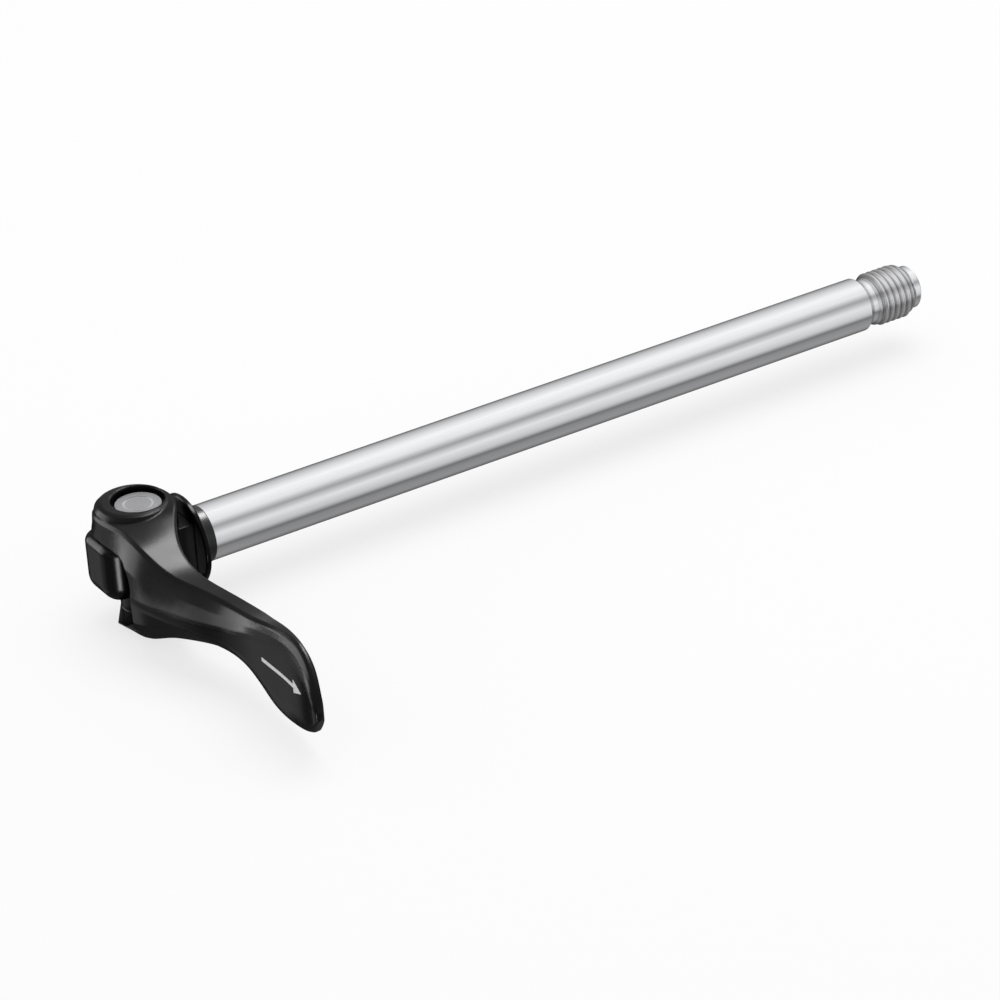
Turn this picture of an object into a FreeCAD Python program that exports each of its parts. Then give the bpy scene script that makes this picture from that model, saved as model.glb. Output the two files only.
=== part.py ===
"""Rear thru axle with a cam lever: a hollow axle, a clamping head and a two-eared lever.

Units are millimetres. The origin is on the axle's centre line, in the plane of the
clamping face. +X runs along the axle to its threaded end, +Z runs along the lever's
pivot pin, and the closed lever points to -Y.
"""
import FreeCAD, Part
import math
import os
from FreeCAD import Vector

# Axle shaft
shank_radius = 5.95
shank_end = 168.6
shank_chamfer_length = 1.4
shank_chamfer_depth = 0.9
relief_length = 1.3
relief_radius = 5.0
thread_radius = 6.0
thread_length = 8.4
lead_in_length = 1.5
tip_radius = 4.75
tip_length = 2.0
tip_chamfer = 0.5
bore_radius = 3.2
wall_at_journal = 1.4

# Neck ring between the clamping face and the shank, with a thinner sleeve in the flange
ring_length = 3.1
ring_proud = 0.05
ring_end_gap = 0.05
ring_sleeve_radius = 5.7

# Base flange
flange_radius = 9.7
flange_thickness = 1.3
flange_edge = 0.3

# Housing, the block that the lever's ears straddle
pivot_back = 10.4
housing_outer = 11.0
housing_half_width = 6.4
housing_half_height = 6.5
housing_corner_radius = 4.0
housing_upper_rim = 1.8
housing_lower_rim = 4.0
housing_waist = 4.6
neck_half_width = 5.4
neck_half_height = 6.0

# Cam pin and its bushes
pin_head_radius = 4.71
pin_head_top = 11.57
pin_head_thickness = 1.3
pin_mark_radius = 3.1
pin_mark_depth = 0.12
pin_mark_width = 0.25
pin_neck_radius = 3.9
journal_radius = 3.3
cam_radius = 2.4
cam_throw = 0.7
bush_wall = 0.65
bush_rim_radius = 5.3
bush_rim_thickness = 0.25
pin_tail_set_back = 0.6

# Pull stud, an eye bolt that the cam draws outwards
eye_thickness = 4.0
eye_wall = 1.3
stud_length_in_bore = 14.0
stud_collar_length = 1.6

# Lever
ear_top = 12.75
ear_gap = 0.3
boss_offset = -1.2
boss_radius = 8.8
boss_draft = 0.8
boss_edge_radius = 1.8
boss_edge_steps = 3
pin_recess_radius = 5.5
pin_recess_chamfer = 0.25
slot_end_clearance = 4.3
slot_corner_radius = 6.2
lower_boss_radius = 5.6
lower_ear_shoulder = 5.2
lower_ear_outer = -9.9
lower_ear_inner = 6.4
slot_floor = -10.85
slot_floor_start = -6.5
slot_floor_end = -9.0
slot_floor_set_back = 2.6
lever_reach = 80.0
crease_easing = 0.55
ridge_easing = 0.5
longest_easing = 0.3

# Running clearances
shaft_fit = 0.05
pin_fit = 0.05
press_gap = 0.02
cam_lag = 0.22

# Lever sections from the pivot to the tip. Each row gives the place along the lever as
# a share of its reach, then the inner edge, the crease and the ridge, each as its
# distance from the pivot along X and its height as a share of the ears' height, and
# last how far the bevel between crease and ridge bulges.
lever_sections = [
    (-0.081, 1.50, 0.900, -5.70, 0.870, -6.90, 0.040, 0.1),
    (-0.062, 3.60, 0.930, -7.65, 0.875, -8.70, 0.040, 0.1),
    (-0.025, 6.20, 0.975, -9.15, 0.880, -10.00, 0.040, 0.1),
    (0.010, 6.70, 0.985, -9.40, 0.885, -10.30, 0.040, 0.2),
    (0.062, 6.00, 0.985, -8.90, 0.900, -10.20, 0.040, 0.5),
    (0.094, 4.70, 0.968, -8.40, 0.895, -10.50, 0.040, 0.6),
    (0.125, 3.20, 0.910, -8.20, 0.872, -10.90, 0.040, 0.8),
    (0.188, 0.85, 0.772, -7.80, 0.800, -11.40, 0.045, 0.8),
    (0.250, 0.00, 0.610, -6.60, 0.640, -10.60, 0.050, 0.5),
    (0.312, 0.50, 0.504, -4.80, 0.530, -9.10, 0.077, 0.3),
    (0.375, 1.60, 0.455, -2.60, 0.470, -7.50, 0.098, 0.2),
    (0.438, 2.80, 0.423, -1.10, 0.427, -5.50, 0.118, 0.2),
    (0.500, 3.30, 0.435, -0.60, 0.440, -3.50, 0.147, 0.2),
    (0.562, 3.10, 0.496, -0.60, 0.504, -2.50, 0.224, 0.2),
    (0.625, 2.20, 0.602, -1.10, 0.618, -2.30, 0.333, 0.2),
    (0.688, 1.40, 0.708, -1.50, 0.724, -2.30, 0.430, 0.2),
    (0.750, 0.80, 0.760, -1.40, 0.772, -2.30, 0.495, 0.2),
    (0.812, 0.20, 0.738, -1.20, 0.746, -2.60, 0.480, 0.2),
    (0.875, -0.50, 0.560, -1.95, 0.568, -3.30, 0.365, 0.2),
    (0.930, -1.90, 0.255, -3.00, 0.265, -4.40, 0.225, 0.1),
    (0.945, -2.40, 0.125, -3.40, 0.145, -4.50, 0.140, 0.1),
    (0.952, -3.00, 0.060, -3.80, 0.075, -4.40, 0.080, 0.1),
]

pivot_x = -pivot_back
journal_on_shaft = bore_radius + wall_at_journal
bush_outer = journal_radius + pin_fit + bush_wall
slot_half_height = housing_half_height + ear_gap
stud_round_start = pivot_x + bush_outer + ear_gap
eye_x = pivot_x - cam_throw - cam_lag / 2
eye_slot_half_width = cam_radius + cam_lag / 2 + pin_fit
eye_slot_end = cam_throw + pin_fit
eye_radius = eye_slot_end + eye_slot_half_width + eye_wall


def turned(profile):
    """A solid of revolution about the X axis from (x, radius) points."""
    points = [Vector(x, 0, radius) for x, radius in profile]
    wire = Part.makePolygon(points + points[:1])
    return Part.Face(wire).revolve(Vector(0, 0, 0), Vector(1, 0, 0), 360)


def disc_z(radius, low, high, x=pivot_x, y=0.0):
    """A round bar along Z between two heights."""
    return Part.makeCylinder(radius, high - low, Vector(x, y, low), Vector(0, 0, 1))


def eased_section(y, corners):
    """A closed outline in the plane of y, from (x, z, easing) corners.

    The easing is how far from the corner it is cut off, along both sides.
    """
    points = []
    count = len(corners)
    for index, (x, z, easing) in enumerate(corners):
        corner = Vector(x, y, z)
        if easing == 0:
            points.append(corner)
            continue
        for other_x, other_z, _ in (corners[index - 1], corners[(index + 1) % count]):
            side = Vector(other_x, y, other_z) - corner
            run = min(easing, longest_easing * side.Length)
            side.normalize()
            points.append(corner + side * run)
    return Part.makePolygon(points + points[:1])


def lever_section(row):
    """One cross-section of the lever, the same above and below the axle's plane."""
    along, inner_x, inner_high, crease_x, crease_high, ridge_x, ridge_high, bulge = row
    inner = (pivot_x + inner_x, inner_high * ear_top)
    crease = (pivot_x + crease_x, crease_high * ear_top)
    ridge = (pivot_x + ridge_x, ridge_high * ear_top)
    bevel_x = ridge[0] - crease[0]
    bevel_z = ridge[1] - crease[1]
    bevel = math.hypot(bevel_x, bevel_z)
    shoulder_x = crease[0] + bevel_x / 2 + bulge * bevel_z / bevel
    shoulder_z = crease[1] + bevel_z / 2 - bulge * bevel_x / bevel
    upper = [
        (*inner, crease_easing),
        (*crease, crease_easing),
        (shoulder_x, shoulder_z, 0),
        (*ridge, ridge_easing),
    ]
    lower = [(x, -z, easing) for x, z, easing in reversed(upper)]
    return eased_section(-along * lever_reach, upper + lower)


def boss():
    """The round head of the lever, slightly tapered, with upper and lower edges eased in steps."""
    top_radius = boss_radius - boss_draft
    flat = top_radius - boss_edge_radius
    low = ear_top - boss_edge_radius
    profile = [(0, ear_top)]
    for step in range(boss_edge_steps + 1):
        turn = math.radians(90) * (1 - step / boss_edge_steps)
        around = boss_edge_radius * math.cos(turn)
        above = boss_edge_radius * math.sin(turn)
        profile.append((flat + around, low + above))
    profile.append((boss_radius, slot_half_height))
    profile += [(radius, -z) for radius, z in reversed(profile)]
    centre = Vector(pivot_x + boss_offset, 0, 0)
    points = [centre + Vector(radius, 0, z) for radius, z in profile]
    face = Part.Face(Part.makePolygon(points + points[:1]))
    return face.revolve(centre, Vector(0, 0, 1), 360)


def slot_cutter():
    """The gap between the ears, rounded at its upper end and deeper at its lower one."""
    end = -(housing_outer + slot_end_clearance)
    far = 3 * boss_radius
    high = slot_half_height
    radius = slot_corner_radius
    bend = radius * (1 - math.sqrt(0.5))
    x = pivot_x - far
    round_start = Vector(x, end + radius, high)
    round_middle = Vector(x, end + bend, high - bend)
    round_end = Vector(x, end, high - radius)
    others = [
        Vector(x, end, 0),
        Vector(x, end + slot_floor_set_back, slot_floor_end),
        Vector(x, slot_floor_start, slot_floor),
        Vector(x, far, slot_floor),
        Vector(x, far, high),
    ]
    edges = [Part.Arc(round_start, round_middle, round_end).toShape()]
    for start, stop in zip([round_end] + others, others + [round_start]):
        edges.append(Part.LineSegment(start, stop).toShape())
    gap = Part.Face(Part.Wire(edges)).extrude(Vector(2 * far, 0, 0))
    return gap.cut(disc_z(lower_boss_radius, slot_floor, -slot_half_height))


def lower_ear_trim():
    """What is cut from the lower ear, which narrows to a small boss round the pin."""
    shoulder = -lower_ear_shoulder
    far = 3 * boss_radius
    sides = []
    for x, sign in ((lower_ear_outer, -1), (lower_ear_inner, 1)):
        away = math.atan2(shoulder, x)
        turn = sign * math.acos(lower_boss_radius / math.hypot(x, shoulder))
        touch = (lower_boss_radius * math.cos(away + turn), lower_boss_radius * math.sin(away + turn))
        sides.append(((x, shoulder), touch))
    (outer, outer_touch), (inner, inner_touch) = sides

    def at(point):
        return Vector(pivot_x + point[0], point[1], -2 * ear_top)

    edges = [
        Part.LineSegment(at(outer), at(outer_touch)).toShape(),
        Part.Arc(at(outer_touch), at((0, lower_boss_radius)), at(inner_touch)).toShape(),
        Part.LineSegment(at(inner_touch), at(inner)).toShape(),
        Part.LineSegment(at(inner), at((far, shoulder))).toShape(),
        Part.LineSegment(at((far, shoulder)), at((far, far))).toShape(),
        Part.LineSegment(at((far, far)), at((-far, far))).toShape(),
        Part.LineSegment(at((-far, far)), at((-far, shoulder))).toShape(),
        Part.LineSegment(at((-far, shoulder)), at(outer)).toShape(),
    ]
    return Part.Face(Part.Wire(edges)).extrude(Vector(0, 0, 2 * ear_top - housing_half_height))


def lever():
    """The two-eared lever in one piece, with its pin recess and cross hole."""
    arm = Part.makeLoft([lever_section(row) for row in lever_sections], True, False)
    body = boss().fuse(arm)
    body = body.cut(slot_cutter())
    body = body.cut(lower_ear_trim())
    recess_floor = pin_head_top - pin_head_thickness - press_gap
    body = body.cut(disc_z(pin_recess_radius, recess_floor, ear_top + 1))
    chamfer = Part.makeCone(
        pin_recess_radius,
        pin_recess_radius + 2 * pin_recess_chamfer,
        2 * pin_recess_chamfer,
        Vector(pivot_x, 0, ear_top - pin_recess_chamfer),
        Vector(0, 0, 1),
    )
    body = body.cut(chamfer)
    body = body.cut(disc_z(pin_neck_radius + press_gap, 0, ear_top))
    return body.cut(disc_z(journal_radius + press_gap, -ear_top - 1, 0))


def axle_shaft():
    """The hollow axle, from the journal in the head to the tip past the thread."""
    chamfer_start = shank_end - shank_chamfer_length
    thread_start = shank_end + relief_length
    thread_end = thread_start + thread_length
    tip_start = thread_end + lead_in_length
    tip_end = tip_start + tip_length
    profile = [
        (-flange_thickness, bore_radius),
        (-flange_thickness, journal_on_shaft),
        (ring_length, journal_on_shaft),
        (ring_length, shank_radius),
        (chamfer_start, shank_radius),
        (shank_end, shank_radius - shank_chamfer_depth),
        (shank_end, relief_radius),
        (thread_start, relief_radius),
        (thread_start, thread_radius),
        (thread_end, thread_radius),
        (tip_start, tip_radius),
        (tip_end - tip_chamfer, tip_radius),
        (tip_end, tip_radius - tip_chamfer),
        (tip_end, bore_radius),
    ]
    return turned(profile)


def neck_ring():
    """The dark ring on the journal, with its sleeve through the flange."""
    inner = journal_on_shaft + press_gap
    outer = shank_radius + ring_proud
    profile = [
        (ring_end_gap - flange_thickness, inner),
        (ring_end_gap - flange_thickness, ring_sleeve_radius),
        (ring_end_gap, ring_sleeve_radius),
        (ring_end_gap, outer),
        (ring_length, outer),
        (ring_length, inner),
    ]
    return turned(profile)


def base_flange():
    """The round clamping washer that slides on the neck ring's sleeve."""
    bore = ring_sleeve_radius + shaft_fit
    face_inner = shank_radius + ring_proud + shaft_fit
    profile = [
        (-flange_thickness, bore),
        (-flange_thickness, flange_radius - flange_edge),
        (-flange_thickness + flange_edge, flange_radius),
        (-flange_edge, flange_radius),
        (0, flange_radius - flange_edge),
        (0, face_inner),
        (bore - face_inner, bore),
    ]
    return turned(profile)


def pull_stud():
    """The eye bolt in the axle's bore, with a cross slot for the cam."""
    half = eye_thickness / 2
    collar = -flange_thickness - stud_collar_length
    profile = [
        (stud_round_start, 0),
        (stud_round_start, bore_radius - press_gap),
        (collar, bore_radius - press_gap),
        (collar, journal_on_shaft),
        (-flange_thickness, journal_on_shaft),
        (-flange_thickness, bore_radius - press_gap),
        (stud_length_in_bore, bore_radius - press_gap),
        (stud_length_in_bore, 0),
    ]
    body = turned(profile).fuse(disc_z(eye_radius, -half, half, eye_x))
    body = body.fuse(centred_box(eye_x, collar, bore_radius - press_gap, half))
    slot = centred_box(
        eye_x - eye_slot_half_width, eye_x + eye_slot_half_width, eye_slot_end, eye_thickness
    )
    for y in (-eye_slot_end, eye_slot_end):
        slot = slot.fuse(disc_z(eye_slot_half_width, -eye_thickness, eye_thickness, eye_x, y))
    return body.cut(slot)


def centred_box(x_start, x_end, half_width, half_height):
    """A block that is centred on the axle's line."""
    corner = Vector(x_start, -half_width, -half_height)
    return Part.makeBox(x_end - x_start, 2 * half_width, 2 * half_height, corner)


def housing():
    """The block between the ears, with a pillowed outer face and the cam's chamber."""
    outer_x = pivot_x - housing_outer
    waist_x = pivot_x + housing_waist
    cap = centred_box(outer_x, waist_x, housing_half_width, housing_half_height)
    upright = [e for e in cap.Edges if e.BoundBox.XMax < outer_x + 0.1 and e.BoundBox.ZLength > 1]
    cap = cap.makeFillet(housing_corner_radius, upright)
    for side, rim_radius in ((1, housing_upper_rim), (-1, housing_lower_rim)):
        rim = [e for e in cap.Edges if e.BoundBox.XMax < outer_x + housing_corner_radius + 0.1]
        rim = [e for e in rim if e.BoundBox.ZLength < 0.1 and side * e.BoundBox.ZMin > 0.9 * housing_half_height]
        cap = cap.makeFillet(rim_radius, rim)
    neck = centred_box(waist_x - ear_gap, -flange_thickness, neck_half_width, neck_half_height)
    block = cap.fuse(neck)
    block = block.cut(disc_z(bush_outer + press_gap, -housing_half_height, housing_half_height))
    half = eye_thickness / 2 + ear_gap / 2
    reach = eye_radius + ear_gap
    chamber = disc_z(reach, -half, half, eye_x)
    passage = centred_box(eye_x, -flange_thickness, reach, half)
    block = block.cut(chamber.fuse(passage))
    stud_hole = Part.makeCylinder(
        bore_radius + ear_gap / 2,
        -flange_thickness - stud_round_start + ear_gap / 2,
        Vector(stud_round_start - ear_gap / 2, 0, 0),
        Vector(1, 0, 0),
    )
    block = block.cut(stud_hole)
    mouth_depth = stud_collar_length + ear_gap
    mouth = Part.makeCylinder(
        journal_on_shaft + ear_gap / 2,
        mouth_depth,
        Vector(-flange_thickness - mouth_depth, 0, 0),
        Vector(1, 0, 0),
    )
    return block.cut(mouth)


def bush(side):
    """A rimmed bush in the housing, above or below the stud's eye."""
    low = eye_thickness / 2 + ear_gap / 2
    high = housing_half_height + bush_rim_thickness
    body = disc_z(bush_outer, low, housing_half_height)
    body = body.fuse(disc_z(bush_rim_radius, housing_half_height, high))
    body = body.cut(disc_z(journal_radius + pin_fit, low - 1, high + 1))
    if side < 0:
        body.rotate(Vector(pivot_x, 0, 0), Vector(1, 0, 0), 180)
    return body


def cam_pin():
    """The pivot pin: a shallow head, a neck in the upper ear, two journals and the cam."""
    cam_half = eye_thickness / 2 + ear_gap / 2
    neck_top = pin_head_top - pin_head_thickness
    body = disc_z(pin_head_radius, neck_top, pin_head_top)
    body = body.fuse(disc_z(pin_neck_radius, slot_half_height, neck_top))
    body = body.fuse(disc_z(journal_radius, cam_half, slot_half_height))
    body = body.fuse(disc_z(cam_radius, -cam_half, cam_half, pivot_x - cam_throw))
    body = body.fuse(disc_z(journal_radius, -ear_top + pin_tail_set_back, -cam_half))
    mark_floor = pin_head_top - pin_mark_depth
    mark = disc_z(pin_mark_radius, mark_floor, pin_head_top)
    mark = mark.cut(disc_z(pin_mark_radius - pin_mark_width, mark_floor, pin_head_top))
    return body.cut(mark)


pieces = {
    "axle_shaft": axle_shaft(),
    "neck_ring": neck_ring(),
    "pull_stud": pull_stud(),
    "base_flange": base_flange(),
    "housing": housing(),
    "upper_bush": bush(1),
    "lower_bush": bush(-1),
    "cam_pin": cam_pin(),
    "lever": lever(),
}

os.makedirs("parts", exist_ok=True)
for name, shape in pieces.items():
    if len(shape.Solids) == 1:
        shape = shape.Solids[0]
    print(name, len(shape.Solids), shape.isValid(), round(shape.Volume, 1), shape.BoundBox)
    shape.exportStep("parts/" + name + ".step")
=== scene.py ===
"""Looks of the rear thru axle: its finishes, its thread and the studio round it.

Lengths are metres, in the part's own frame: +X along the axle to the threaded end,
+Z up along the lever's pivot pin, and the closed lever points to -Y. Names that end
in _mm hold millimetres.
"""
import math

import bmesh
import bpy
from mathutils import Matrix, Vector
from mathutils.bvhtree import BVHTree


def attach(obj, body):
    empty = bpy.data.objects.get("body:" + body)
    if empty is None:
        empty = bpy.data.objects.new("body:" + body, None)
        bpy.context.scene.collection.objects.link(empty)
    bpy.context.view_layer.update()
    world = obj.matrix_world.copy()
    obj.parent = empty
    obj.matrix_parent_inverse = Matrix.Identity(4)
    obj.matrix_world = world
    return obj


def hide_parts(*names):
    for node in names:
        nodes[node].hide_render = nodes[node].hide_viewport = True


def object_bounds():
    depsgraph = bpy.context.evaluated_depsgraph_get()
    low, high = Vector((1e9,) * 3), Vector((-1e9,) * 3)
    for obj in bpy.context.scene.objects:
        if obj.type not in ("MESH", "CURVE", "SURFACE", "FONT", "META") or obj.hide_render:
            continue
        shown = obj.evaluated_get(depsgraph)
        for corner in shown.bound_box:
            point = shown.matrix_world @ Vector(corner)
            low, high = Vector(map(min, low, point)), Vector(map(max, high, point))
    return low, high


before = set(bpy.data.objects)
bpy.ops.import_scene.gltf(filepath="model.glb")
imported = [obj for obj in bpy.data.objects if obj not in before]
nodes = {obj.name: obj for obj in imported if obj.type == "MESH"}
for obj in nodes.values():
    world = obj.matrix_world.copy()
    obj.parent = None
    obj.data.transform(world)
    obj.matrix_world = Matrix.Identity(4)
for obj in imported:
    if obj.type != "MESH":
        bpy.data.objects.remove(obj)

MM = 0.001
cad_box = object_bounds()
scene = bpy.context.scene

# Camera of the photograph, in the part's frame
camera_place = Vector((-0.353358, -0.718390, 0.441967))
camera_right = Vector((0.84181, -0.53675, -0.05707))
camera_up = Vector((0.30121, 0.37938, 0.87484))
camera_back = Vector((-0.44792, -0.75364, 0.48104))
focal_length_mm = 162.53
sensor_width_mm = 36.0
nearest_seen = 0.01
farthest_seen = 20.0

# The lever's pivot, and the worn ring on its pin's end as an inner and an outer radius
pivot_x_mm = -10.4
ring_mark_mm = (2.7, 3.15)
ring_mark_colour = (0.42, 0.42, 0.43, 1.0)

# The plain arrow near the lever's tip: its shaft runs along -Y from start to head, and
# its head narrows from there to the tip
mark_start_mm = -52.0
mark_head_mm = -64.5
mark_tip_mm = -68.0
mark_shaft_half_mm = 0.42
mark_head_half_mm = 1.45
mark_point_half_mm = 0.03
mark_height_mm = 0.8
mark_step_mm = 0.5
mark_proud_mm = 0.03
mark_cast_from_mm = -40.0
mark_across = (-1.0, -0.5, 0.0, 0.5, 1.0)

# Edges of the CAD solids that turn by more than this stay sharp
sharp_edge_degrees = 24

# Finishes. A noise over the first range becomes the full range of a roughness, and one over
# the second range becomes the full blend of two colours
roughness_noise = (0.3, 0.7)
colour_noise = (0.35, 0.65)
even = (1, 1, 1)
peel_scale = 1400.0
cloud_scale = 90.0
steel_grain_scale = 2500.0
white_wear_scale = 2200.0
streak_scale = 3200.0
streak_stretch = (0.02, 1, 1)
streak_detail = 2.0
peel_height_mm = 0.003
steel_grain_height_mm = 0.002
streak_height_mm = 0.0003
bevel_samples = 6

# Black finishes by node: material's name, darker and lighter colour, roughness range,
# specular level, and the radius that softens the edges
black_finishes = {
    "lever": (
        "lever_black", (0.0020, 0.0020, 0.0022), (0.0032, 0.0032, 0.0035),
        (0.24, 0.29), 0.13, 0.5,
    ),
    "housing": (
        "head_black", (0.0022, 0.0022, 0.0024), (0.0034, 0.0034, 0.0037),
        (0.21, 0.26), 0.12, 0.4,
    ),
    "base_flange": (
        "seat_black", (0.0014, 0.0014, 0.0015), (0.0022, 0.0022, 0.0023),
        (0.18, 0.23), 0.08, 0.2,
    ),
    "neck_ring": (
        "ring_black", (0.0060, 0.0060, 0.0062), (0.0090, 0.0090, 0.0092),
        (0.26, 0.32), 0.40, 0.2,
    ),
    "upper_bush": (
        "bush_polymer", (0.012, 0.012, 0.012), (0.016, 0.016, 0.016),
        (0.50, 0.60), 0.5, 0.4,
    ),
}

# Steel finishes by node: material's name, two colours, roughness range and worn ring
steel_finishes = {
    "cam_pin": (
        "pin_steel", (0.25, 0.25, 0.255), (0.30, 0.30, 0.305), (0.38, 0.46), ring_mark_mm,
    ),
    "pull_stud": (
        "stud_steel", (0.50, 0.50, 0.51), (0.58, 0.58, 0.59), (0.30, 0.40), None,
    ),
}

alloy_colours = ((0.82, 0.83, 0.85), (0.86, 0.86, 0.88))
alloy_roughness = (0.15, 0.17)
# Painted shade in the thread's roots and a painted highlight on its crests
thread_root_painted_shade = (0.54, 0.54, 0.55, 1.0)
thread_crest_painted_highlight = (0.95, 0.95, 0.96, 1.0)
thread_roughness = (0.18, 0.22)
marking_colours = ((0.74, 0.74, 0.74), (0.86, 0.86, 0.86))
marking_roughness = (0.45, 0.60)

# Levels of the studio in reflections. Round the axle they go by the direction, from -180
# to 180 degrees. They are multiplied by levels along the axle, from the head's side to the
# tip's side, which differ above and below the level of the axle
round_the_axle = [
    (0.0, 0.86), (0.067, 0.70), (0.094, 0.46), (0.119, 0.17), (0.144, 0.28), (0.175, 0.32),
    (0.253, 0.35), (0.333, 0.17), (0.411, 0.02), (0.46, 0.07), (0.51, 0.33), (0.567, 0.58),
    (0.714, 1.10), (0.822, 0.92), (0.889, 0.38), (0.975, 0.92), (1.0, 0.86),
]
left_to_right_above = [(0.0, 0.70), (0.30, 0.65), (0.45, 0.50), (0.57, 0.62), (0.70, 1.0)]
left_to_right_below = [
    (0.0, 0.90), (0.35, 0.80), (0.50, 0.55), (0.60, 0.50), (0.70, 0.90), (0.75, 1.0),
]
above_below_blend = 0.15
world_level = 0.60
white = (1.0, 1.0, 1.0, 1.0)

# The floor, and the share of plain white that the camera sees in it
floor_reach = 6.0
floor_gap_mm = 0.05
floor_colour = (0.93, 0.93, 0.93, 1.0)
floor_roughness = 0.9
floor_whitening = 0.74

# Lamps: name, place, the point each looks at, size and watts. The first lights everything
# and shows in no reflection, and the others light only the head's pieces
middle = (0.06, -0.02, 0.0)
head = (-0.012, -0.02, 0.0)
overhead_lamp = ("overhead", (0.30, 0.10, 1.10), middle, 1.0, 7.0)
head_lamp = ("head_key", (0.40, 0.16, 0.78), head, 0.34, 10.8)
right_lamp = ("far_right", (0.37, 0.156, 0.234), (-0.012, -0.064, 0.004), 0.12, 0.42)

# Soft cards that show only as reflections on the head's pieces: name, direction from the
# head, distance, size and watts
cards = [
    ("left_card", (-0.67, 0.69, 0.26), 0.5, 0.42, 3.3),
    ("low_left_card", (-0.63, 0.63, -0.40), 0.5, 0.42, 0.29),
    ("low_front_card", (-0.43, -0.76, -0.48), 0.4, 0.12, 1.36),
]

# The shaft's outline before and after its thread, from the head to the tip, as (x, radius)
shaft_outline_mm = [
    (-1.3, 3.2), (-1.3, 4.6), (3.1, 4.6), (3.1, 5.80), (3.25, 5.95),
    (167.2, 5.95), (168.6, 5.05), (168.6, 5.0), (169.7, 5.0),
]
tip_outline_mm = [(180.1, 4.75), (181.4, 4.75), (181.8, 4.25), (181.8, 3.45), (181.55, 3.2)]

# The thread: the outline that it is cut into, its form, and the part of it, from x to x,
# that has the cut thread's colour, with painted shade in its roots up to the first radius
# and a painted highlight on its crests from the second one
crest_radius_mm = 6.0
thread_envelope_mm = [
    (169.7, 5.0), (170.5, crest_radius_mm), (178.3, crest_radius_mm), (180.1, 4.75),
]
thread_pitch_mm = 1.5
thread_depth_mm = 1.0
thread_run_in_mm = 1.5
thread_start_turn = 0.15
crest_sharpness = 1.1
thread_cut_mm = (170.6, 179.8)
thread_shade_to_highlight_mm = (5.05, 5.75)
steps_per_pitch = 24
segments_round = 128
weld_distance_mm = 0.001


def new_material(name):
    """An empty node material, its tree and its shader, joined to the output."""
    material = bpy.data.materials.new(name)
    material.use_nodes = True
    tree = material.node_tree
    tree.nodes.clear()
    output = tree.nodes.new("ShaderNodeOutputMaterial")
    shader = tree.nodes.new("ShaderNodeBsdfPrincipled")
    tree.links.new(shader.outputs["BSDF"], output.inputs["Surface"])
    return material, tree, shader


def stretched_noise(tree, stretch, scale, detail=3.0):
    """Noise in the part's own space, stretched along its axes."""
    coordinates = tree.nodes.new("ShaderNodeTexCoord")
    mapping = tree.nodes.new("ShaderNodeMapping")
    mapping.inputs["Scale"].default_value = stretch
    noise = tree.nodes.new("ShaderNodeTexNoise")
    noise.inputs["Scale"].default_value = scale
    noise.inputs["Detail"].default_value = detail
    tree.links.new(coordinates.outputs["Object"], mapping.inputs["Vector"])
    tree.links.new(mapping.outputs["Vector"], noise.inputs["Vector"])
    return noise.outputs["Fac"]


def distance_from_line(tree, flattened, shift=(0.0, 0.0, 0.0)):
    """The distance of a point of the surface from a line along the flattened axis."""
    coordinates = tree.nodes.new("ShaderNodeTexCoord")
    mapping = tree.nodes.new("ShaderNodeMapping")
    mapping.inputs["Location"].default_value = shift
    mapping.inputs["Scale"].default_value = flattened
    length = tree.nodes.new("ShaderNodeVectorMath")
    length.operation = "LENGTH"
    tree.links.new(coordinates.outputs["Object"], mapping.inputs["Vector"])
    tree.links.new(mapping.outputs["Vector"], length.inputs[0])
    return length.outputs["Value"]


def rescaled(tree, source, low, high, new_low=0.0, new_high=1.0):
    """A value moved from the range low to high to a new range."""
    node = tree.nodes.new("ShaderNodeMapRange")
    node.inputs["From Min"].default_value = low
    node.inputs["From Max"].default_value = high
    node.inputs["To Min"].default_value = new_low
    node.inputs["To Max"].default_value = new_high
    tree.links.new(source, node.inputs["Value"])
    return node.outputs["Result"]


def blended_colour(tree, source, first, second):
    """A colour between two, following a noise."""
    ramp = tree.nodes.new("ShaderNodeValToRGB")
    for element, place, colour in zip(ramp.color_ramp.elements, colour_noise, (first, second)):
        element.position = place
        element.color = (*colour, 1.0)
    tree.links.new(source, ramp.inputs["Fac"])
    return ramp.outputs["Color"]


def mixed_colours(tree, factor, blend="MIX"):
    """A node that mixes its colours A and B by a factor, given as a value or an output."""
    mix = tree.nodes.new("ShaderNodeMix")
    mix.data_type = "RGBA"
    mix.blend_type = blend
    if isinstance(factor, float):
        mix.inputs["Factor"].default_value = factor
    else:
        tree.links.new(factor, mix.inputs["Factor"])
    return mix


def roughened(tree, shader, source, roughness):
    """Roughness on a shader that follows a noise over a range."""
    value = rescaled(tree, source, *roughness_noise, *roughness)
    tree.links.new(value, shader.inputs["Roughness"])


def bumped(tree, shader, source, height_mm, edge_mm=0.0):
    """Fine relief of a real height on a shader, over edges rounded by a radius."""
    bump = tree.nodes.new("ShaderNodeBump")
    bump.inputs["Distance"].default_value = height_mm * MM
    tree.links.new(source, bump.inputs["Height"])
    if edge_mm:
        rounding = tree.nodes.new("ShaderNodeBevel")
        rounding.samples = bevel_samples
        rounding.inputs["Radius"].default_value = edge_mm * MM
        tree.links.new(rounding.outputs["Normal"], bump.inputs["Normal"])
    tree.links.new(bump.outputs["Normal"], shader.inputs["Normal"])


def satin_black(name, dark, light, roughness, gloss, edge_mm):
    """Black coat with the fine orange peel of a satin finish and softened edges."""
    material, tree, shader = new_material(name)
    peel = stretched_noise(tree, even, peel_scale)
    cloud = stretched_noise(tree, even, cloud_scale)
    tree.links.new(blended_colour(tree, cloud, dark, light), shader.inputs["Base Color"])
    roughened(tree, shader, cloud, roughness)
    shader.inputs["Specular IOR Level"].default_value = gloss
    bumped(tree, shader, peel, peel_height_mm, edge_mm)
    return material


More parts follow.
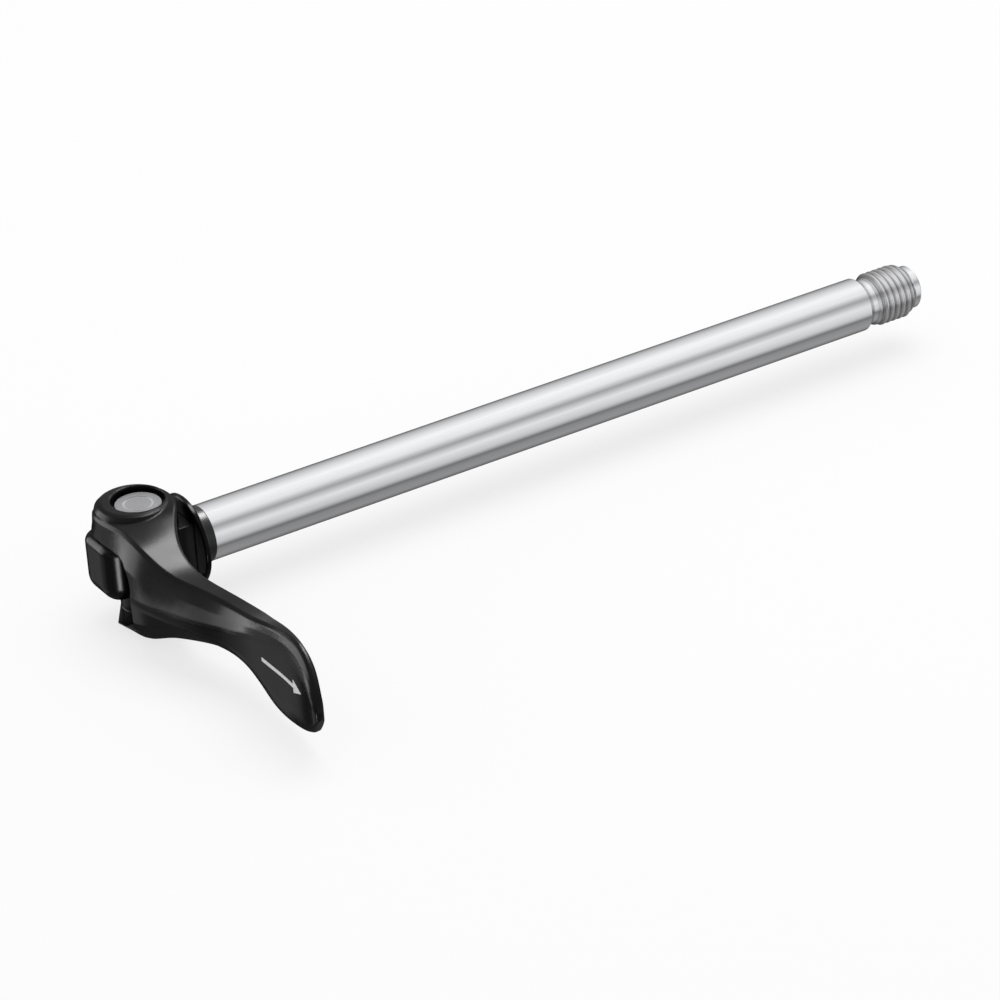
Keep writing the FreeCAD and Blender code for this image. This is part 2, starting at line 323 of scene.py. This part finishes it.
def drawn_alloy():
    """Polished alloy tube with faint streaks along its length."""
    material, tree, shader = new_material("drawn_alloy")
    streaks = stretched_noise(tree, streak_stretch, streak_scale, streak_detail)
    tree.links.new(blended_colour(tree, streaks, *alloy_colours), shader.inputs["Base Color"])
    roughened(tree, shader, streaks, alloy_roughness)
    shader.inputs["Metallic"].default_value = 1.0
    bumped(tree, shader, streaks, streak_height_mm)
    return material


def thread_alloy_painted_shade():
    """The alloy of the cut thread, with a painted highlight on its crests and painted shade
    down to its roots.
    """
    material, tree, shader = new_material("thread_alloy_painted_shade")
    radius = distance_from_line(tree, (0.0, 1.0, 1.0))
    height = rescaled(tree, radius, thread_shade_to_highlight_mm[0] * MM, thread_shade_to_highlight_mm[1] * MM)
    # Painted shade and highlight: the colour goes from dark at the roots to bright at the
    # crests, by the distance from the axle
    colour = mixed_colours(tree, height)
    colour.inputs["A"].default_value = thread_root_painted_shade
    colour.inputs["B"].default_value = thread_crest_painted_highlight
    tree.links.new(colour.outputs["Result"], shader.inputs["Base Color"])
    roughened(tree, shader, stretched_noise(tree, even, steel_grain_scale), thread_roughness)
    shader.inputs["Metallic"].default_value = 1.0
    return material


def matt_steel(name, first, second, roughness, ring_mm):
    """Fine turned steel, with a brighter worn ring of given radii on the pin's end."""
    material, tree, shader = new_material(name)
    grain = stretched_noise(tree, even, steel_grain_scale)
    colour = blended_colour(tree, grain, first, second)
    if ring_mm:
        inner, outer = ring_mm
        band = tree.nodes.new("ShaderNodeMath")
        band.operation = "COMPARE"
        band.inputs[1].default_value = (inner + outer) / 2 * MM
        band.inputs[2].default_value = (outer - inner) / 2 * MM
        from_pivot = distance_from_line(tree, (1.0, 1.0, 0.0), (-pivot_x_mm * MM, 0.0, 0.0))
        tree.links.new(from_pivot, band.inputs[0])
        worn = mixed_colours(tree, band.outputs["Value"])
        tree.links.new(colour, worn.inputs["A"])
        worn.inputs["B"].default_value = ring_mark_colour
        colour = worn.outputs["Result"]
    tree.links.new(colour, shader.inputs["Base Color"])
    roughened(tree, shader, grain, roughness)
    shader.inputs["Metallic"].default_value = 1.0
    bumped(tree, shader, grain, steel_grain_height_mm)
    return material


def marking_white():
    """White marking paint, a little uneven at its scale."""
    material, tree, shader = new_material("marking_white")
    wear = stretched_noise(tree, even, white_wear_scale)
    tree.links.new(blended_colour(tree, wear, *marking_colours), shader.inputs["Base Color"])
    roughened(tree, shader, wear, marking_roughness)
    bumped(tree, shader, wear, peel_height_mm)
    return material


def coat(piece, material):
    """Give a CAD piece its material."""
    piece.data.materials.clear()
    piece.data.materials.append(material)


def smooth_normals(piece):
    """Even shading over a CAD solid's facets, with its real edges kept."""
    bpy.context.view_layer.objects.active = piece
    piece.select_set(True)
    bpy.ops.object.shade_auto_smooth(angle=math.radians(sharp_edge_degrees))
    piece.select_set(False)


def add_object(name, data):
    """A new object with the given data, in the scene."""
    added = bpy.data.objects.new(name, data)
    scene.collection.objects.link(added)
    return added


def plain_floor():
    """A plain white floor, a hair under the part's lowest point."""
    low = cad_box[0][2] - floor_gap_mm * MM
    reach = floor_reach
    mesh = bpy.data.meshes.new("floor")
    corners = [
        (-reach, -reach, low), (reach, -reach, low), (reach, reach, low), (-reach, reach, low),
    ]
    mesh.from_pydata(corners, [], [(0, 1, 2, 3)])
    floor = add_object("floor", mesh)
    material, tree, shader = new_material("floor_white")
    shader.inputs["Base Color"].default_value = floor_colour
    shader.inputs["Roughness"].default_value = floor_roughness
    shader.inputs["Specular IOR Level"].default_value = 0.0
    see_through = tree.nodes.new("ShaderNodeBsdfTransparent")
    glow = tree.nodes.new("ShaderNodeEmission")
    glow.inputs["Strength"].default_value = 1.0
    light_path = tree.nodes.new("ShaderNodeLightPath")
    seen_share = tree.nodes.new("ShaderNodeMath")
    seen_share.operation = "MULTIPLY"
    seen_share.inputs[1].default_value = floor_whitening
    lifted = tree.nodes.new("ShaderNodeMixShader")
    surface = tree.nodes.new("ShaderNodeMixShader")
    output = next(n for n in tree.nodes if n.type == "OUTPUT_MATERIAL")
    link = tree.links.new
    link(light_path.outputs["Is Camera Ray"], seen_share.inputs[0])
    link(seen_share.outputs["Value"], lifted.inputs["Fac"])
    link(shader.outputs["BSDF"], lifted.inputs[1])
    link(glow.outputs["Emission"], lifted.inputs[2])
    link(light_path.outputs["Is Glossy Ray"], surface.inputs["Fac"])
    link(lifted.outputs["Shader"], surface.inputs[1])
    link(see_through.outputs["BSDF"], surface.inputs[2])
    link(surface.outputs["Shader"], output.inputs["Surface"])
    mesh.materials.append(material)


def level_ramp(tree, source, stops, interpolation="EASE"):
    """Levels of grey along a value from 0 to 1."""
    ramp = tree.nodes.new("ShaderNodeValToRGB")
    ramp.color_ramp.interpolation = interpolation
    elements = ramp.color_ramp.elements
    while len(elements) < len(stops):
        elements.new(0.5)
    for element, (place, level) in zip(elements, stops):
        element.position = place
        element.color = (level, level, level, 1.0)
    tree.links.new(source, ramp.inputs["Fac"])
    return ramp.outputs["Color"]


def studio_world():
    """A pale studio: white to the camera, and soft panels of grey in reflections."""
    world = bpy.data.worlds.new("studio")
    world.use_nodes = True
    scene.world = world
    tree = world.node_tree
    tree.nodes.clear()
    link = tree.links.new
    output = tree.nodes.new("ShaderNodeOutputWorld")
    coordinates = tree.nodes.new("ShaderNodeTexCoord")
    parts = tree.nodes.new("ShaderNodeSeparateXYZ")
    turn = tree.nodes.new("ShaderNodeMath")
    turn.operation = "ARCTAN2"
    link(coordinates.outputs["Generated"], parts.inputs["Vector"])
    link(parts.outputs["Z"], turn.inputs[0])
    link(parts.outputs["Y"], turn.inputs[1])
    turn_share = rescaled(tree, turn.outputs["Value"], -math.pi, math.pi)
    around = level_ramp(tree, turn_share, round_the_axle, "LINEAR")
    along = rescaled(tree, parts.outputs["X"], -1.0, 1.0)
    above = level_ramp(tree, along, left_to_right_above)
    below = level_ramp(tree, along, left_to_right_below)
    height = rescaled(tree, parts.outputs["Z"], -above_below_blend, above_below_blend)
    side = mixed_colours(tree, height)
    link(below, side.inputs["A"])
    link(above, side.inputs["B"])
    panels = mixed_colours(tree, 1.0, "MULTIPLY")
    link(around, panels.inputs["A"])
    link(side.outputs["Result"], panels.inputs["B"])
    reflected = tree.nodes.new("ShaderNodeBackground")
    link(panels.outputs["Result"], reflected.inputs["Color"])
    plain = tree.nodes.new("ShaderNodeBackground")
    plain.inputs["Strength"].default_value = world_level
    plain.inputs["Color"].default_value = white
    seen = tree.nodes.new("ShaderNodeBackground")
    seen.inputs["Color"].default_value = white
    path = tree.nodes.new("ShaderNodeLightPath")
    glossy_mix = tree.nodes.new("ShaderNodeMixShader")
    camera_mix = tree.nodes.new("ShaderNodeMixShader")
    link(path.outputs["Is Glossy Ray"], glossy_mix.inputs["Fac"])
    link(plain.outputs["Background"], glossy_mix.inputs[1])
    link(reflected.outputs["Background"], glossy_mix.inputs[2])
    link(path.outputs["Is Camera Ray"], camera_mix.inputs["Fac"])
    link(glossy_mix.outputs["Shader"], camera_mix.inputs[1])
    link(seen.outputs["Background"], camera_mix.inputs[2])
    link(camera_mix.outputs["Shader"], output.inputs["Surface"])


def soft_lamp(name, place, target, size, watts, lit=None):
    """A square soft box that looks at a point, and may light only some pieces."""
    data = bpy.data.lights.new(name, "AREA")
    data.shape = "SQUARE"
    data.size = size
    data.energy = watts
    lamp = bpy.data.objects.new(name, data)
    lamp.location = place
    lamp.visible_camera = False
    looks = Vector(target) - Vector(place)
    lamp.rotation_euler = looks.to_track_quat("-Z", "Y").to_euler()
    scene.collection.objects.link(lamp)
    if lit:
        chosen = bpy.data.collections.new(name + "_lights")
        for piece in lit:
            chosen.objects.link(piece)
        lamp.light_linking.receiver_collection = chosen
        lamp.light_linking.blocker_collection = chosen
    return lamp


def light_studio():
    """The lamp over everything, and the lamps and cards that light only the head."""
    head_pieces = [piece for node, piece in nodes.items() if node != "axle_shaft"]
    overhead = soft_lamp(*overhead_lamp)
    overhead.visible_glossy = False
    soft_lamp(*head_lamp, head_pieces)
    for name, direction, distance, size, watts in cards:
        place = Vector(head) + Vector(direction).normalized() * distance
        card = soft_lamp(name, place, head, size, watts, head_pieces)
        card.visible_diffuse = False
    soft_lamp(*right_lamp, head_pieces)


def photo_camera():
    """The camera at the photograph's viewing angle."""
    data = bpy.data.cameras.new("camera")
    data.sensor_width = sensor_width_mm
    data.lens = focal_length_mm
    data.clip_start = nearest_seen
    data.clip_end = farthest_seen
    camera = add_object("camera", data)
    turned = Matrix((camera_right, camera_up, camera_back)).transposed().to_4x4()
    camera.matrix_world = Matrix.Translation(camera_place) @ turned
    scene.camera = camera


def radius_on(outline, x):
    """The radius of an outline at a place along the axle."""
    for (x_start, r_start), (x_end, r_end) in zip(outline, outline[1:]):
        if x <= x_end:
            return r_start + (r_end - r_start) * (x - x_start) / (x_end - x_start)
    return outline[-1][1]


def thread_rings():
    """Rows of points (x, radius) over the thread, which climb by one pitch in a turn."""
    start = thread_envelope_mm[0][0]
    stop = thread_envelope_mm[-1][0]
    step = thread_pitch_mm / steps_per_pitch
    rows = math.ceil((stop - start) / step) + steps_per_pitch
    rings = []
    for row in range(rows + 1):
        # A row keeps its place on the thread's form, so its radius changes only where the
        # thread begins and where the envelope cuts it
        phase = 2 * math.pi * ((row % steps_per_pitch) / steps_per_pitch + thread_start_turn)
        crest = (0.5 + 0.5 * math.cos(phase)) ** crest_sharpness
        ring = []
        for segment in range(segments_round):
            climb = thread_pitch_mm * segment / segments_round
            travel = (row - steps_per_pitch) * step + climb
            x = max(start, min(stop, start + travel))
            begun = max(0.0, min(1.0, (x - start) / thread_run_in_mm))
            radius = crest_radius_mm - thread_depth_mm * (1 - crest * begun)
            ring.append((x, min(radius_on(thread_envelope_mm, x), radius)))
        rings.append(ring)
    return rings


def ring_faces(ring_count, first_row, last_row):
    """Faces between neighbouring rings, and along the bore from the last ring to the first.

    The end of a thread's row meets the start of the row one pitch further on.
    """
    faces = []
    for index in range(ring_count):
        for segment in range(segments_round):
            corners = []
            for row, place in (
                (index, segment), (index, segment + 1),
                (index + 1, segment + 1), (index + 1, segment),
            ):
                if place == segments_round and first_row <= row <= last_row:
                    row = min(row + steps_per_pitch, last_row)
                corners.append(row % ring_count * segments_round + place % segments_round)
            if len(set(corners)) == 4:
                faces.append(corners)
    return faces


def weld(mesh):
    """Join a turned mesh's doubled points, and keep the outline's corners as sharp edges."""
    near = weld_distance_mm * MM
    corner_places = [x * MM for x, _ in shaft_outline_mm + tip_outline_mm]
    welded = bmesh.new()
    welded.from_mesh(mesh)
    bmesh.ops.remove_doubles(welded, verts=welded.verts, dist=near)
    for edge in welded.edges:
        first, second = (vertex.co.x for vertex in edge.verts)
        on_corner = any(abs(first - x) < near for x in corner_places)
        edge.smooth = not (on_corner and abs(first - second) < near)
    welded.to_mesh(mesh)
    welded.free()


def threaded_shaft(alloy):
    """The axle's shaft with its real helical thread, in the place of the plain solid."""
    rings = [[corner] * segments_round for corner in shaft_outline_mm]
    first_row = len(rings)
    rings += thread_rings()
    last_row = len(rings) - 1
    rings += [[corner] * segments_round for corner in tip_outline_mm]
    points = []
    for ring in rings:
        for segment, (x, radius) in enumerate(ring):
            turn = 2 * math.pi * segment / segments_round
            points.append((x * MM, radius * MM * math.cos(turn), radius * MM * math.sin(turn)))
    mesh = bpy.data.meshes.new("threaded_shaft")
    mesh.from_pydata(points, [], ring_faces(len(rings), first_row, last_row))
    weld(mesh)
    mesh.shade_smooth()
    mesh.validate()
    mesh.materials.append(alloy)
    mesh.materials.append(thread_alloy_painted_shade())
    for face in mesh.polygons:
        face.material_index = int(thread_cut_mm[0] * MM < face.center.x < thread_cut_mm[1] * MM)
    shaft = add_object("threaded_shaft", mesh)
    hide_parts("axle_shaft")
    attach(shaft, "axle")


def mark_stations():
    """The arrow's half width at places along the lever, as (y, half width)."""
    stations = []
    count = round((mark_start_mm - mark_head_mm) / mark_step_mm)
    for index in range(count + 1):
        y = mark_start_mm + (mark_head_mm - mark_start_mm) * index / count
        stations.append((y, mark_shaft_half_mm))
    count = round((mark_head_mm - mark_tip_mm) / mark_step_mm)
    for index in range(count + 1):
        share = index / count
        y = mark_head_mm + (mark_tip_mm - mark_head_mm) * share
        stations.append((y, mark_head_half_mm * (1 - share) + mark_point_half_mm))
    return stations


def lever_mark():
    """A plain white arrow on the lever's broad face, laid on its curve."""
    surface = BVHTree.FromObject(nodes["lever"], bpy.context.evaluated_depsgraph_get())
    stations = mark_stations()
    points = []
    for y, half in stations:
        for across in mark_across:
            start = Vector((mark_cast_from_mm, y, mark_height_mm + across * half)) * MM
            hit = surface.ray_cast(start, Vector((1.0, 0.0, 0.0)))[0]
            points.append(hit - Vector((mark_proud_mm * MM, 0.0, 0.0)))
    width = len(mark_across)
    faces = []
    for index in range(len(stations) - 1):
        for across in range(width - 1):
            here = index * width + across
            faces.append((here, here + width, here + width + 1, here + 1))
    mesh = bpy.data.meshes.new("lever_mark")
    mesh.from_pydata(points, [], faces)
    mesh.materials.append(marking_white())
    mark = add_object("lever_mark", mesh)
    body = mark.modifiers.new("thickness", "SOLIDIFY")
    body.thickness = 2 * mark_proud_mm * MM
    body.offset = 0.0
    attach(mark, "lever")


materials = {node: satin_black(*finish) for node, finish in black_finishes.items()}
materials["lower_bush"] = materials["upper_bush"]
for node, finish in steel_finishes.items():
    materials[node] = matt_steel(*finish)
for node, material in materials.items():
    coat(nodes[node], material)
for piece in nodes.values():
    smooth_normals(piece)

threaded_shaft(drawn_alloy())
lever_mark()
plain_floor()
studio_world()
photo_camera()
light_studio()

scene.view_settings.view_transform = "Standard"
